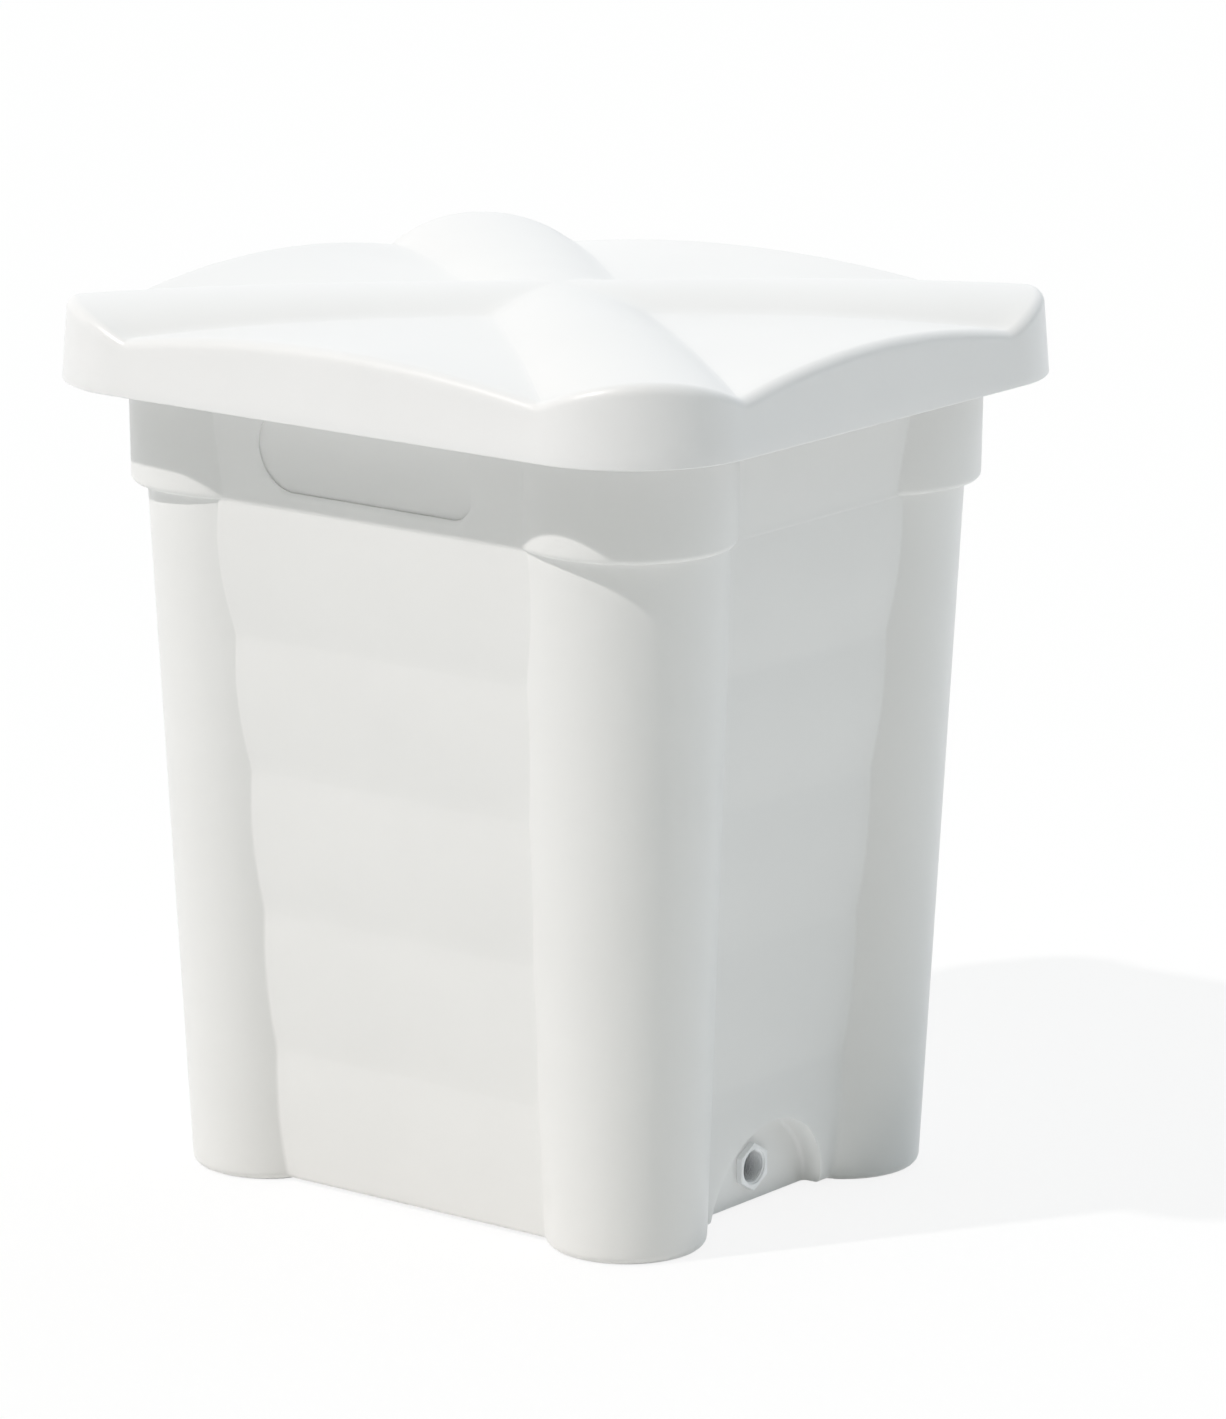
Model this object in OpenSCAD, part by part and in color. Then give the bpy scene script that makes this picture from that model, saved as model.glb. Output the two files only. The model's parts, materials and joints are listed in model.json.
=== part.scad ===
// Rotomoulded tank with four corner columns, a lift-off ridged lid and a threaded outlet at its foot.
// Millimetres, +Z up, origin on the ground under the middle of the tank.
// The bare label pad faces -Y and the outlet faces +X.

/* [Columns] */
// Distance from the middle to a column's axis along X, at the ground
column_x = 169.1; // [140:0.1:200]
// Distance from the middle to a column's axis along Y, at the ground
column_y = 132.7; // [110:0.1:170]
// Outward lean of a column's axis along X, between the ground and the collar
column_lean_x = 2.6; // [0:0.1:14]
// Outward lean of a column's axis along Y, between the ground and the collar
column_lean_y = 11.1; // [0:0.1:16]
// Radius of a column at the ground
column_foot_r = 58.9; // [50:0.1:66]
// Radius of a column where it meets its collar
column_top_r = 78.5; // [75:0.1:81]
// Rounding of the bottom edge of a column
foot_round = 7; // [4:0.5:16]

/* [Panels] */
// Distance from a column's axis, at the collar, to the top of the front and back panels
front_panel_out = 72.8; // [66:0.1:73]
// Distance from a column's axis, at the collar, to the top of the side panels
side_panel_out = 67.5; // [60:0.1:68]
// Distance that each tier of the front and back panels curves inwards towards its lower end
front_tier_step = 9.7; // [2:0.1:10]
// Distance that each tier of the side panels curves inwards towards its lower end
side_tier_step = 8.5; // [2:0.1:9]
// Heights of the creases between the five tiers
crease_z = [104.5, 212.5, 321.5, 424.5]; // [60:0.5:480]
// Height of the panels' lower edge and of the underside above the ground
panel_gap = 2; // [1:0.5:8]
// Rounding of the panels' lower edge
panel_round = 4; // [2:0.5:10]

/* [Band and collars] */
// Height of the lower edge of the band and collars
collar_z = 527; // [500:0.5:550]
// Distance along X from a column's axis out to its collar's axis
collar_out_x = 9.4; // [6:0.1:14]
// Distance along Y from a column's axis out to its collar's axis
collar_out_y = 6.5; // [4:0.1:12]
// Radius of a collar at its lower edge
collar_r = 79.1; // [78:0.1:86]
// Step from the top of the front and back panels out to the band
front_band_step = 1; // [0.5:0.1:4]
// Step from the top of the side panels out to the band
side_band_step = 1.2; // [0.5:0.1:4]
// Rounding of the lower edge of the band and collars
collar_round = 4.5; // [2:0.5:7]
// Outward lean of the front and back band, in degrees
front_band_draft = 4; // [0:0.1:5]
// Outward lean of the side band, in degrees
side_band_draft = 6; // [0:0.1:7]
// Outward lean of the collars, in degrees
collar_draft = 0.9; // [0:0.1:3]
// Thickness of the tank's walls and floor
tank_wall = 5; // [3:0.1:8]

/* [Rim] */
// Height of the rim's top, where the lid sits
seat_z = 643.5; // [620:0.5:680]
// Thickness of the rim
rim_thick = 6; // [4:0.5:10]
// Gap between the rim's edge and the lid's skirt
rim_gap = 3; // [1.5:0.1:6]

/* [Lid] */
// Distance that the lid's skirt stands out past the collars' lower edge at the sides
side_overhang = 39.8; // [34:0.1:46]
// Distance that the lid's skirt stands out past the collars' lower edge at the front and back
front_overhang = 43; // [36:0.1:50]
// Radius of the lid's corners, seen from above
lid_corner_r = 100; // [60:0.5:110]
// Thickness of the lid
lid_wall = 5; // [4:0.1:8]
// Depth of the skirt's lower edge below the rim's top
skirt_drop = 38.5; // [25:0.5:60]
// Outward flare of the skirt between its top and its lower edge
skirt_flare = 4; // [0:0.1:10]
// Rounding of the lid's top edge
lid_edge_round = 9; // [4:0.5:14]
// Depth to which the underside is flattened where the valleys sit on the rim
seat_flat = 2; // [1:0.1:3]
// Distance along the edge from the end of a corner's rounding to the valley beside it
valley_past_corner = 10; // [2:0.5:30]
// Rise of the arched edge at the front and back above the valleys
front_arch = 15; // [6:0.1:20]
// Rise of the arched edge at the sides above the valleys
side_arch = 16.5; // [6:0.1:20]
// Rise of the arched edge at the corners above the valleys
corner_arch = 19; // [10:0.1:30]
// Rise of the lid's middle above the valleys
crown_rise = 26; // [18:0.1:40]
// Drop from the middle to the points where neighbouring ridges part
parting_drop = 14; // [6:0.1:18]
// Distance from the middle to the points where the ridges part along X
parting_x = 88; // [60:1:130]
// Distance from the middle to the points where the ridges part along Y
parting_y = 79; // [60:1:120]
// Power with which the lid's lines fall away towards its edge
edge_fall = 2.4; // [1:0.1:4]
// Half the width of the blunt tip between parting ridges
parting_tip = 6; // [3:0.5:20]

/* [Outlet] */
// Radius of the half-round pocket around the outlet, at its back
pocket_r = 67; // [50:0.5:68]
// Extra radius of the pocket at its mouth
pocket_flare = 3; // [0:0.5:6]
// Depth of the pocket, from the panel's lower edge
pocket_depth = 14.4; // [10:0.1:18]
// Height of the outlet's axis
outlet_z = 28.8; // [27:0.1:36]
// Distance across the flats of the insert
insert_af = 32; // [30:0.1:34]
// Distance across the flats of the insert's moulded-in shoulder
shoulder_af = 36; // [35:0.1:40]
// Thickness of the shoulder
shoulder_thick = 5; // [3:0.5:8]
// Length of the insert
insert_len = 24; // [20:0.5:32]
// Distance that the insert stands out of the pocket's back
insert_proud = 4.5; // [2:0.5:6]
// Radius of the threaded bore at the crests of its thread
thread_minor_r = 12.06; // [9:0.01:13.5]
// Depth and width of the chamfer at the bore's mouth
mouth_chamfer = 1.2; // [0.5:0.1:1.8]

/* [Label pad] */
// Distance from the middle to the pad's left end
pad_left = 101.5; // [60:0.5:112]
// Distance from the middle to the pad's right end
pad_right = 94.5; // [60:0.5:112]
// Height of the pad's lower edge above the band's lower edge
pad_low = 13.5; // [8:0.5:20]
// Height of the pad
pad_h = 65; // [40:0.5:75]
// Radius of the pad's right corners
pad_right_r = 18; // [5:0.5:20]
// Depth of the pad
pad_depth = 1.5; // [0.5:0.1:2]

/* [Hidden] */
$fn = 96;

// Number of straight steps in an edge rounding and in a tier's curve
round_steps = 5;
tier_steps = 5;
// Amount by which a cutting shape runs past what it cuts
past = 20;

// Column axis at the collar, its length, its tilt from upright and the turn of that tilt
neck_x = column_x + column_lean_x;
neck_y = column_y + column_lean_y;
axis_len = norm([column_lean_x, column_lean_y, collar_z]);
axis_tilt = atan2(norm([column_lean_x, column_lean_y]), collar_z);
axis_turn = atan2(column_lean_y, column_lean_x);
// Collar axis
collar_x = neck_x + collar_out_x;
collar_y = neck_y + collar_out_y;
// Depth by which a leaning foot is set below the ground before it is cut level
foot_sink = column_foot_r * sin(axis_tilt);

// Faces of the panels and of the band, from the middle
front_panel = neck_y + front_panel_out;
side_panel = neck_x + side_panel_out;
front_band = front_panel + front_band_step;
tier_ends = concat([panel_gap], crease_z, [collar_z]);
tiers = len(tier_ends) - 1;
floor_z = panel_gap + tank_wall;

// Outlet pocket and insert along X
pocket_x = side_panel - tiers * side_tier_step - pocket_depth;
insert_mouth_x = pocket_x + insert_proud;
insert_inner_x = insert_mouth_x - insert_len;
shoulder_x = (insert_inner_x + pocket_x - shoulder_thick) / 2;
boss_r = shoulder_af / sqrt(3) + tank_wall;

// Lid outline and heights
lid_x = collar_x + collar_r + side_overhang;
lid_y = collar_y + collar_r + front_overhang;
skirt_z = seat_z - skirt_drop;
valley_z = seat_z + lid_wall - seat_flat;
crown_z = valley_z + crown_rise;
parting_z = crown_z - parting_drop;
valley_from_corner = lid_corner_r + valley_past_corner;
// Insets from the skirt's lower edge to the top's flat edge, the skirt's inside and the rim
edge_inset = skirt_flare + lid_edge_round;
inner_inset = skirt_flare + lid_wall;
rim_inset = inner_inset + rim_gap;

function arc(centre, r, from, to, steps) =
    [for (i = [0:steps]) let (a = from + (to - from) * i / steps) centre + r * [cos(a), sin(a)]];
function lerp(a, b, t) = a + (b - a) * t;
function flipped(pts) = [for (i = [len(pts) - 1:-1:0]) [-pts[i].x, pts[i].y]];

// Half outline of a face, from its lower edge up: five curved tiers, then the band a small step further out
function face_half(panel, tier_step, band_step, band_draft, inset, top_z) =
    let (
        top = panel - inset,
        low = [top - tiers * tier_step, panel_gap + inset],
        step_z = collar_z + inset,
        ends = [for (i = [0:tiers]) i == 0 ? low.y + panel_round : i == tiers ? step_z : tier_ends[i]],
        lean = tan(band_draft) * (top_z - step_z - collar_round)
    )
    concat(
        arc([low.x - panel_round, low.y + panel_round], panel_round, -90, 0, round_steps),
        [for (i = [0:tiers - 1], k = [1:tier_steps])
            let (t = 1 - k / tier_steps)
            [top - tier_step * (tiers - 1 - i + t * t), lerp(ends[i + 1], ends[i], t)]],
        [for (k = [1:round_steps])
            let (a = 90 * k / round_steps)
            [top + band_step * sin(a), step_z + collar_round * (1 - cos(a))]],
        [[top + band_step + lean, top_z]]
    );

module face_outline(panel, tier_step, band_step, band_draft, inset, top_z) {
    half = face_half(panel, tier_step, band_step, band_draft, inset, top_z);
    polygon(concat(half, flipped(half)));
}

// Solid between the faces: the front and back run between the columns, and so do the sides
module faces(inset, top_z) {
    rotate([90, 0, 90])
        linear_extrude(2 * column_x, center = true)
            face_outline(front_panel, front_tier_step, front_band_step, front_band_draft, inset, top_z);
    rotate([90, 0, 0])
        linear_extrude(2 * column_y, center = true)
            face_outline(side_panel, side_tier_step, side_band_step, side_band_draft, inset, top_z);
}

// Leaning, tapered column with a rounded foot, its seam inwards, not yet cut level with the ground
module leaning_column(inset) {
    top = axis_len + foot_sink + collar_round + 2 * tank_wall;
    foot_r = column_foot_r - inset;
    top_r = foot_r + (column_top_r - column_foot_r) * top / axis_len;
    translate([column_x, column_y, 0])
        rotate([0, axis_tilt, axis_turn])
            translate([0, 0, inset - foot_sink])
                rotate(180)
                    rotate_extrude()
                        polygon(concat(
                            [[0, 0]],
                            arc([foot_r - foot_round, foot_round], foot_round, -90, 0, round_steps),
                            [[top_r, top], [0, top]]
                        ));
}

// Upright collar around the top of a column
module collar(inset, top_z) {
    low_z = collar_z + inset;
    r = collar_r - inset;
    lean = tan(collar_draft) * (top_z - low_z - collar_round);
    translate([collar_x, collar_y, 0])
        rotate_extrude()
            polygon(concat(
                [[0, low_z]],
                arc([r - collar_round, low_z + collar_round], collar_round, -90, 0, round_steps),
                [[r + lean, top_z], [0, top_z]]
            ));
}

module at_corners() {
    for (mx = [0, 1], my = [0, 1])
        mirror([mx, 0, 0])
            mirror([0, my, 0])
                children();
}

// Whole form of the tank, drawn in by the given inset
module tank_form(inset, top_z) {
    faces(inset, top_z);
    at_corners() {
        leaning_column(inset);
        collar(inset, top_z);
    }
}

module rounded_rectangle(half_x, half_y, r) {
    square([2 * (half_x - r), 2 * half_y], center = true);
    square([2 * half_x, 2 * (half_y - r)], center = true);
    for (sx = [-1, 1], sy = [-1, 1])
        translate([sx * (half_x - r), sy * (half_y - r)])
            circle(r);
}

// Out-turned rim that carries the lid
module rim() {
    translate([0, 0, seat_z - rim_thick])
        linear_extrude(rim_thick)
            rounded_rectangle(lid_x - rim_inset, lid_y - rim_inset, lid_corner_r - rim_inset);
}

// Half-round pocket around the outlet, open at the side face and at the ground
module pocket(extra, back_x) {
    length = side_panel - back_x + past;
    slope = pocket_flare / (pocket_depth + tiers * side_tier_step);
    translate([back_x, 0, 0])
        rotate([0, 90, 0])
            cylinder(h = length, r1 = pocket_r + extra, r2 = pocket_r + extra + slope * length);
}

// Space inside the tank, less the pocket's wall and the boss around the insert
module cavity() {
    difference() {
        intersection() {
            tank_form(tank_wall, seat_z + past);
            translate([-lid_x, -lid_y, floor_z])
                cube([2 * lid_x, 2 * lid_y, seat_z + past]);
        }
        pocket(tank_wall, pocket_x - tank_wall);
        translate([insert_inner_x, 0, outlet_z])
            rotate([0, 90, 0])
                cylinder(h = insert_len + past, r = boss_r);
    }
}

// Six-sided bar along X with points up and down
module hex_bar(af, from_x, to_x) {
    translate([from_x, 0, outlet_z])
        rotate([0, 90, 0])
            cylinder(h = to_x - from_x, r = af / sqrt(3), $fn = 6);
}

// Outside of the insert, which is also the shape of its seat in the tank
module insert_body() {
    hex_bar(insert_af, insert_inner_x, insert_mouth_x);
    hex_bar(shoulder_af, shoulder_x, shoulder_x + shoulder_thick);
}

// Outline of the label pad: round left end, tighter right corners
module pad_outline() {
    left_r = pad_h / 2;
    translate([left_r - pad_left, left_r])
        circle(left_r);
    translate([left_r - pad_left, 0])
        square([pad_left + pad_right - left_r - pad_right_r, pad_h]);
    for (y = [pad_right_r, pad_h - pad_right_r])
        translate([pad_right - pad_right_r, y])
            circle(pad_right_r);
    translate([pad_right - 2 * pad_right_r, pad_right_r])
        square([2 * pad_right_r, pad_h - 2 * pad_right_r]);
}

// Shallow recess in the front band for a label
module label_pad() {
    translate([0, -front_band, collar_z + collar_round])
        rotate([front_band_draft, 0, 0])
            translate([0, pad_depth, pad_low - collar_round])
                rotate([90, 0, 0])
                    linear_extrude(past)
                        pad_outline();
}

module tank_shell() {
    color("whitesmoke")
        difference() {
            union() {
                intersection() {
                    tank_form(0, seat_z - rim_thick);
                    translate([-lid_x, -lid_y, 0])
                        cube([2 * lid_x, 2 * lid_y, seat_z]);
                }
                rim();
            }
            cavity();
            pocket(0, pocket_x);
            insert_body();
            label_pad();
        }
}

module outlet_insert() {
    color("gainsboro")
        difference() {
            insert_body();
            translate([insert_inner_x - past, 0, outlet_z])
                rotate([0, 90, 0])
                    cylinder(h = insert_len + 2 * past, r = thread_minor_r);
            translate([insert_mouth_x - mouth_chamfer, 0, outlet_z])
                rotate([0, 90, 0])
                    cylinder(h = 2 * mouth_chamfer, r1 = thread_minor_r,
                             r2 = thread_minor_r + 2 * mouth_chamfer);
        }
}

// The lid's surface follows lines that run from a diamond of parting points around the middle out to
// the arched edge. A station is one such line, as [kind, place along its stretch of the edge].
SIDE = 0;
CORNER = 1;
FRONT = 2;
side_seat = sqrt(1 - seat_flat / side_arch);
front_seat = sqrt(1 - seat_flat / front_arch);
corner_seat = sqrt(1 - seat_flat / corner_arch);
arch_places = [0, 0.25, 0.5, 0.75];
corner_steps = 10;

// Stations of one quarter of the edge, from the middle of the side to the middle of the front
quarter = concat(
    [for (u = concat(arch_places, [side_seat])) [SIDE, u]],
    [[CORNER, -1]],
    [for (k = [0:corner_steps]) [CORNER, lerp(-corner_seat, corner_seat, k / corner_steps)]],
    [[CORNER, 1], [FRONT, front_seat]],
    [for (i = [len(arch_places) - 1:-1:0]) [FRONT, arch_places[i]]]
);
last = len(quarter) - 1;

// Stations all round, as [station, sign of x, sign of y]
stations = concat(
    [for (i = [0:last - 1]) [quarter[i], 1, 1]],
    [for (i = [last:-1:1]) [quarter[i], -1, 1]],
    [for (i = [0:last - 1]) [quarter[i], -1, -1]],
    [for (i = [last:-1:1]) [quarter[i], 1, -1]]
);

// Point on the edge around a corner, from valley to valley, at a share of the way
function corner_point(share, inset) =
    let (
        r = lid_corner_r - inset,
        straight = valley_past_corner,
        bend = lid_corner_r * PI / 2,
        way = share * (2 * straight + bend),
        centre = [lid_x - lid_corner_r, lid_y - lid_corner_r]
    )
    way < straight ? [lid_x - inset, centre.y - straight + way]
    : way > straight + bend ? [centre.x - (way - straight - bend), lid_y - inset]
    : centre + r * [cos(90 * (way - straight) / bend), sin(90 * (way - straight) / bend)];

function edge_point(s, inset) =
    s[0] == SIDE ? [lid_x - inset, s[1] * (lid_y - valley_from_corner)]
    : s[0] == FRONT ? [s[1] * (lid_x - valley_from_corner), lid_y - inset]
    : corner_point((s[1] + 1) / 2, inset);

function start_point(s) =
    s[0] == SIDE ? [parting_x, s[1] * parting_tip]
    : s[0] == FRONT ? [s[1] * parting_tip, parting_y]
    : lerp([parting_x, parting_tip], [parting_tip, parting_y], (s[1] + 1) / 2);

// Rise of a ridge above the parting points where it begins, with its crest falling away to the corner
ridge_start = norm(start_point([CORNER, 0])) / norm(corner_point(0.5, edge_inset));
ridge_start_rise = parting_drop - (crown_rise - corner_arch) * pow(ridge_start, edge_fall);

function bow(rise, place) = rise * (1 - place * place);
function edge_height(s) =
    valley_z + bow(s[0] == SIDE ? side_arch : s[0] == FRONT ? front_arch : corner_arch, s[1]);
function start_height(s) = parting_z + (s[0] == CORNER ? bow(ridge_start_rise, s[1]) : 0);

// Ring of points at one share of the way out, at an inset from the skirt's lower edge
function placed(station, p, z) = [station[1] * p.x, station[2] * p.y, z];
function top_ring(share, inset, drop, least) =
    [for (st = stations)
        placed(st, lerp(start_point(st[0]), edge_point(st[0], inset), share),
               max(least, lerp(start_height(st[0]), edge_height(st[0]), pow(share, edge_fall)) - drop))];
// Ring at a share of the way from the middle to the parting points, where the ridges cross
function crown_ring(share, drop) =
    [for (st = stations)
        placed(st, start_point(st[0]) * share,
               lerp(crown_z, start_height(st[0]), share * share) - drop)];
function edge_ring(inset, drop) =
    [for (st = stations) placed(st, edge_point(st[0], inset), edge_height(st[0]) - drop)];
function level_ring(inset, z) =
    [for (st = stations) placed(st, edge_point(st[0], inset), z)];

crown_shares = [0.35, 0.7];
ring_shares = [0, 0.25, 0.5, 0.7, 0.85];
seat_share = pow(1 - seat_flat / (parting_z - valley_z), 1 / edge_fall);
edge_steps = 3;

// Rings in order: out over the top, round the edge, down the skirt, up inside and back to the middle
rings = concat(
    [for (share = crown_shares) crown_ring(share, 0)],
    [for (share = concat(ring_shares, [1])) top_ring(share, edge_inset, 0, 0)],
    [for (i = [1:edge_steps])
        let (a = 90 * i / edge_steps)
        edge_ring(edge_inset - lid_edge_round * sin(a), lid_edge_round * (1 - cos(a)))],
    [level_ring(0, skirt_z), level_ring(lid_wall, skirt_z)],
    [for (share = [1, seat_share]) top_ring(share, inner_inset, lid_wall, seat_z)],
    [for (i = [len(ring_shares) - 1:-1:0]) top_ring(ring_shares[i], inner_inset, lid_wall, seat_z)],
    [for (i = [len(crown_shares) - 1:-1:0]) crown_ring(crown_shares[i], lid_wall)]
);

module lid() {
    count = len(stations);
    ends = len(rings) * count;
    points = concat([for (ring = rings) each ring],
                    [[0, 0, crown_z], [0, 0, crown_z - lid_wall]]);
    sides = [for (r = [0:len(rings) - 2], i = [0:count - 1])
        let (a = r * count + i, b = r * count + (i + 1) % count, c = a + count, d = b + count)
        each [[a, b, c], [b, d, c]]];
    crown = [for (i = [0:count - 1]) [ends, (i + 1) % count, i]];
    under = [for (i = [0:count - 1]) [ends + 1, ends - count + i, ends - count + (i + 1) % count]];
    color("white")
        polyhedron(points, concat(sides, crown, under));
}

tank_shell();
outlet_insert();
lid();
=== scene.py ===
"""Rotomoulded drain tank with a lift-off lid and a threaded outlet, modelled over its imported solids."""

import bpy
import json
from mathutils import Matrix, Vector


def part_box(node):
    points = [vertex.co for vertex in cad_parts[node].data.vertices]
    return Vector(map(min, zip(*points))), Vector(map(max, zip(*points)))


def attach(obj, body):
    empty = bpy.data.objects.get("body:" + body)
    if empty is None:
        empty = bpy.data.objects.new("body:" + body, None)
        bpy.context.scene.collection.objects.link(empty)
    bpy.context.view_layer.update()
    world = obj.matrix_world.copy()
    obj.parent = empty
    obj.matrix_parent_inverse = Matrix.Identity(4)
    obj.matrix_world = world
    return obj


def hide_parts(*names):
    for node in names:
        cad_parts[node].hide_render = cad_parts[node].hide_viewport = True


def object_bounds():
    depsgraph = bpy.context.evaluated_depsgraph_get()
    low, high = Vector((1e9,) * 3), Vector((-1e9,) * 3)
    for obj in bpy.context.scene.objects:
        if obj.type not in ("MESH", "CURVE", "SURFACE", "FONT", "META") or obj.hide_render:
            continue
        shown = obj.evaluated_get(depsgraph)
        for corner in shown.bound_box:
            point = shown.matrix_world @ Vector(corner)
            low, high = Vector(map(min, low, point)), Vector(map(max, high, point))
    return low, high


bl_info = {
    "name": "Lidded Drain Tank",
    "version": (1, 0, 0),
    "blender": (4, 5, 0),
    "location": "3D View > Sidebar > Drain Tank",
    "description": "Models the smooth mouldings of a lidded drain tank and sets them on a pale stage",
    "category": "Object",
}

import json
import math
from typing import NamedTuple

import bmesh
import bpy
from bpy.props import FloatProperty, FloatVectorProperty, PointerProperty
from bpy.types import Operator, Panel, PropertyGroup
from mathutils import Matrix, Vector

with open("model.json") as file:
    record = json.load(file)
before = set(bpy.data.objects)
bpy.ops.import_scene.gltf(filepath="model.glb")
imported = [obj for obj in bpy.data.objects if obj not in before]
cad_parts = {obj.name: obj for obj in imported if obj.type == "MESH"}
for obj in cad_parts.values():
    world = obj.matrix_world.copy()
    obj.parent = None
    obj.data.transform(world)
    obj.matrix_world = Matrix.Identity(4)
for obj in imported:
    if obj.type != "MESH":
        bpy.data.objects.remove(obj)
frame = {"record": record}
CAD_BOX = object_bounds()
LID_LOW, LID_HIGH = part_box("lid")
TANK_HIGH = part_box("tank_shell")[1]
INSERT_LOW, INSERT_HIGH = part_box("outlet_insert")
OUTLET = next(mount for mount in frame["record"]["mounts"] if mount["name"] == "outlet")
OUTLET_Z = OUTLET["pos_m"][2]
BORE_RADIUS = OUTLET["dims"]["r_mm"] / 1000
FINISHES = {finish["slot"]: tuple(finish["base_color"][:3]) for finish in frame["record"]["materials"]}

# Distance below which two corners are one
WELD = 1e-5
# Angle above which an edge counts as sharp
SHARP = math.radians(32)
# Sides of the large round tools, of the insert's boss and of a hexagon
ROUND_SIDES, BOSS_SIDES, HEX_SIDES = 96, 64, 6
# Scale and detail of the plastic's clouds, specks, cooling waves and mould grain
CLOUDS, SPECKS, WAVES, GRAIN = (7, 3), (260, 2), (11, 1), (900, 2)
# Shares of the colour that the clouds run between
CLOUD_TINTS = 0.965, 1.02
# How far clouds and specks spread the roughness, and the strength of the grain
CLOUD_SPREAD, SPECK_SPREAD, GRAIN_STRENGTH = 0.06, 0.04, 0.6


# Settings
def length(name, description, default):
    return FloatProperty(name=name, description=description, default=default, min=0, unit="LENGTH")


def angle(name, description, degrees):
    return FloatProperty(name=name, description=description, default=math.radians(degrees), subtype="ANGLE")


def amount(name, description, default):
    return FloatProperty(name=name, description=description, default=default, min=0)


def colour(name, description, default):
    return FloatVectorProperty(
        name=name, description=description, default=default, min=0, max=1, subtype="COLOR", size=3
    )


class TankSettings(PropertyGroup):
    column_x: length("Column X", "From the middle to a column's axis along X, at the ground", 0.1691)
    column_y: length("Column Y", "From the middle to a column's axis along Y, at the ground", 0.1327)
    lean_x: length("Lean X", "Outward lean of a column's axis along X, up to its collar", 0.0026)
    lean_y: length("Lean Y", "Outward lean of a column's axis along Y, up to its collar", 0.0111)
    foot_radius: length("Foot radius", "Radius of a column at the ground", 0.0589)
    neck_radius: length("Neck radius", "Radius of a column where it meets its collar", 0.0785)
    foot_round: length("Foot rounding", "Rounding of a column's bottom edge", 0.007)
    front_panel_out: length("Front panel", "From a column's neck to the top of the front panel", 0.0732)
    side_panel_out: length("Side panel", "From a column's neck to the top of the side panel", 0.068)
    front_tier: length("Front tier", "How far each front tier curves in towards its lower end", 0.0097)
    side_tier: length("Side tier", "How far each side tier curves in towards its lower end", 0.0085)
    creases: FloatVectorProperty(
        name="Creases",
        description="Heights of the creases between the tiers",
        default=(0.1045, 0.2125, 0.3215, 0.4245),
        size=4,
        unit="LENGTH",
    )
    crease_blend: length("Crease blend", "Height over which a crease is softened, each way", 0.004)
    column_blend: length("Column blend", "Radius of the hollow blend beside a column", 0.005)
    panel_gap: length("Panel gap", "Height of the panels' lower edge above the ground", 0.002)
    panel_round: length("Panel rounding", "Rounding of the panels' lower edge", 0.004)
    collar_z: length("Collar height", "Height of the lower edge of the band and collars", 0.527)
    collar_out_x: length("Collar X", "From a column's neck out to its collar's axis along X", 0.0094)
    collar_out_y: length("Collar Y", "From a column's neck out to its collar's axis along Y", 0.0065)
    collar_radius: length("Collar radius", "Radius of a collar at its lower edge", 0.0791)
    front_band_step: length("Front band", "Step from the top of the front panel to the band", 0.0003)
    side_band_step: length("Side band", "Step from the top of the side panel to the band", 0.0003)
    collar_round: length("Collar rounding", "Rounding of the lower edge of the band and collars", 0.0045)
    ledge_blend: length("Ledge blend", "Hollow blend under the band and collars", 0.0015)
    front_draft: angle("Front draft", "Outward lean of the front band", 4)
    side_draft: angle("Side draft", "Outward lean of the side band", 6)
    collar_draft: angle("Collar draft", "Outward lean of the collars", 0.9)
    wall: length("Wall", "Thickness of the tank's walls and floor", 0.005)
    floor_round: length("Floor rounding", "Rounding inside, around the floor", 0.008)
    rim_thick: length("Rim", "Thickness of the rim under the lid", 0.006)
    rim_round: length("Rim rounding", "Rounding of the rim's edges", 0.002)
    rim_gap: length("Rim gap", "Gap between the rim and the lid's skirt", 0.003)


class PocketSettings(PropertyGroup):
    radius: length("Pocket radius", "Radius of the half-round pocket, at its back", 0.067)
    flare: length("Pocket flare", "Extra radius of the pocket at its mouth", 0.003)
    depth: length("Pocket depth", "Depth of the pocket from the panel's lower edge", 0.0144)
    back_round: length("Back rounding", "Hollow blend around the pocket's back", 0.004)
    mouth_round: length("Mouth rounding", "Rounding of the pocket's mouth", 0.0025)
    pad_left: length("Pad left", "From the middle to the label pad's left end", 0.1015)
    pad_right: length("Pad right", "From the middle to the label pad's right end", 0.0945)
    pad_low: length("Pad height", "Height of the pad's lower edge above the band's", 0.0135)
    pad_tall: length("Pad size", "Height of the label pad itself", 0.065)
    pad_corner: length("Pad corner", "Radius of the label pad's right corners", 0.018)
    pad_depth: length("Pad depth", "Depth of the label pad", 0.0015)
    pad_round: length("Pad rounding", "Rounding of the label pad's edges", 0.0005)


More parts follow.
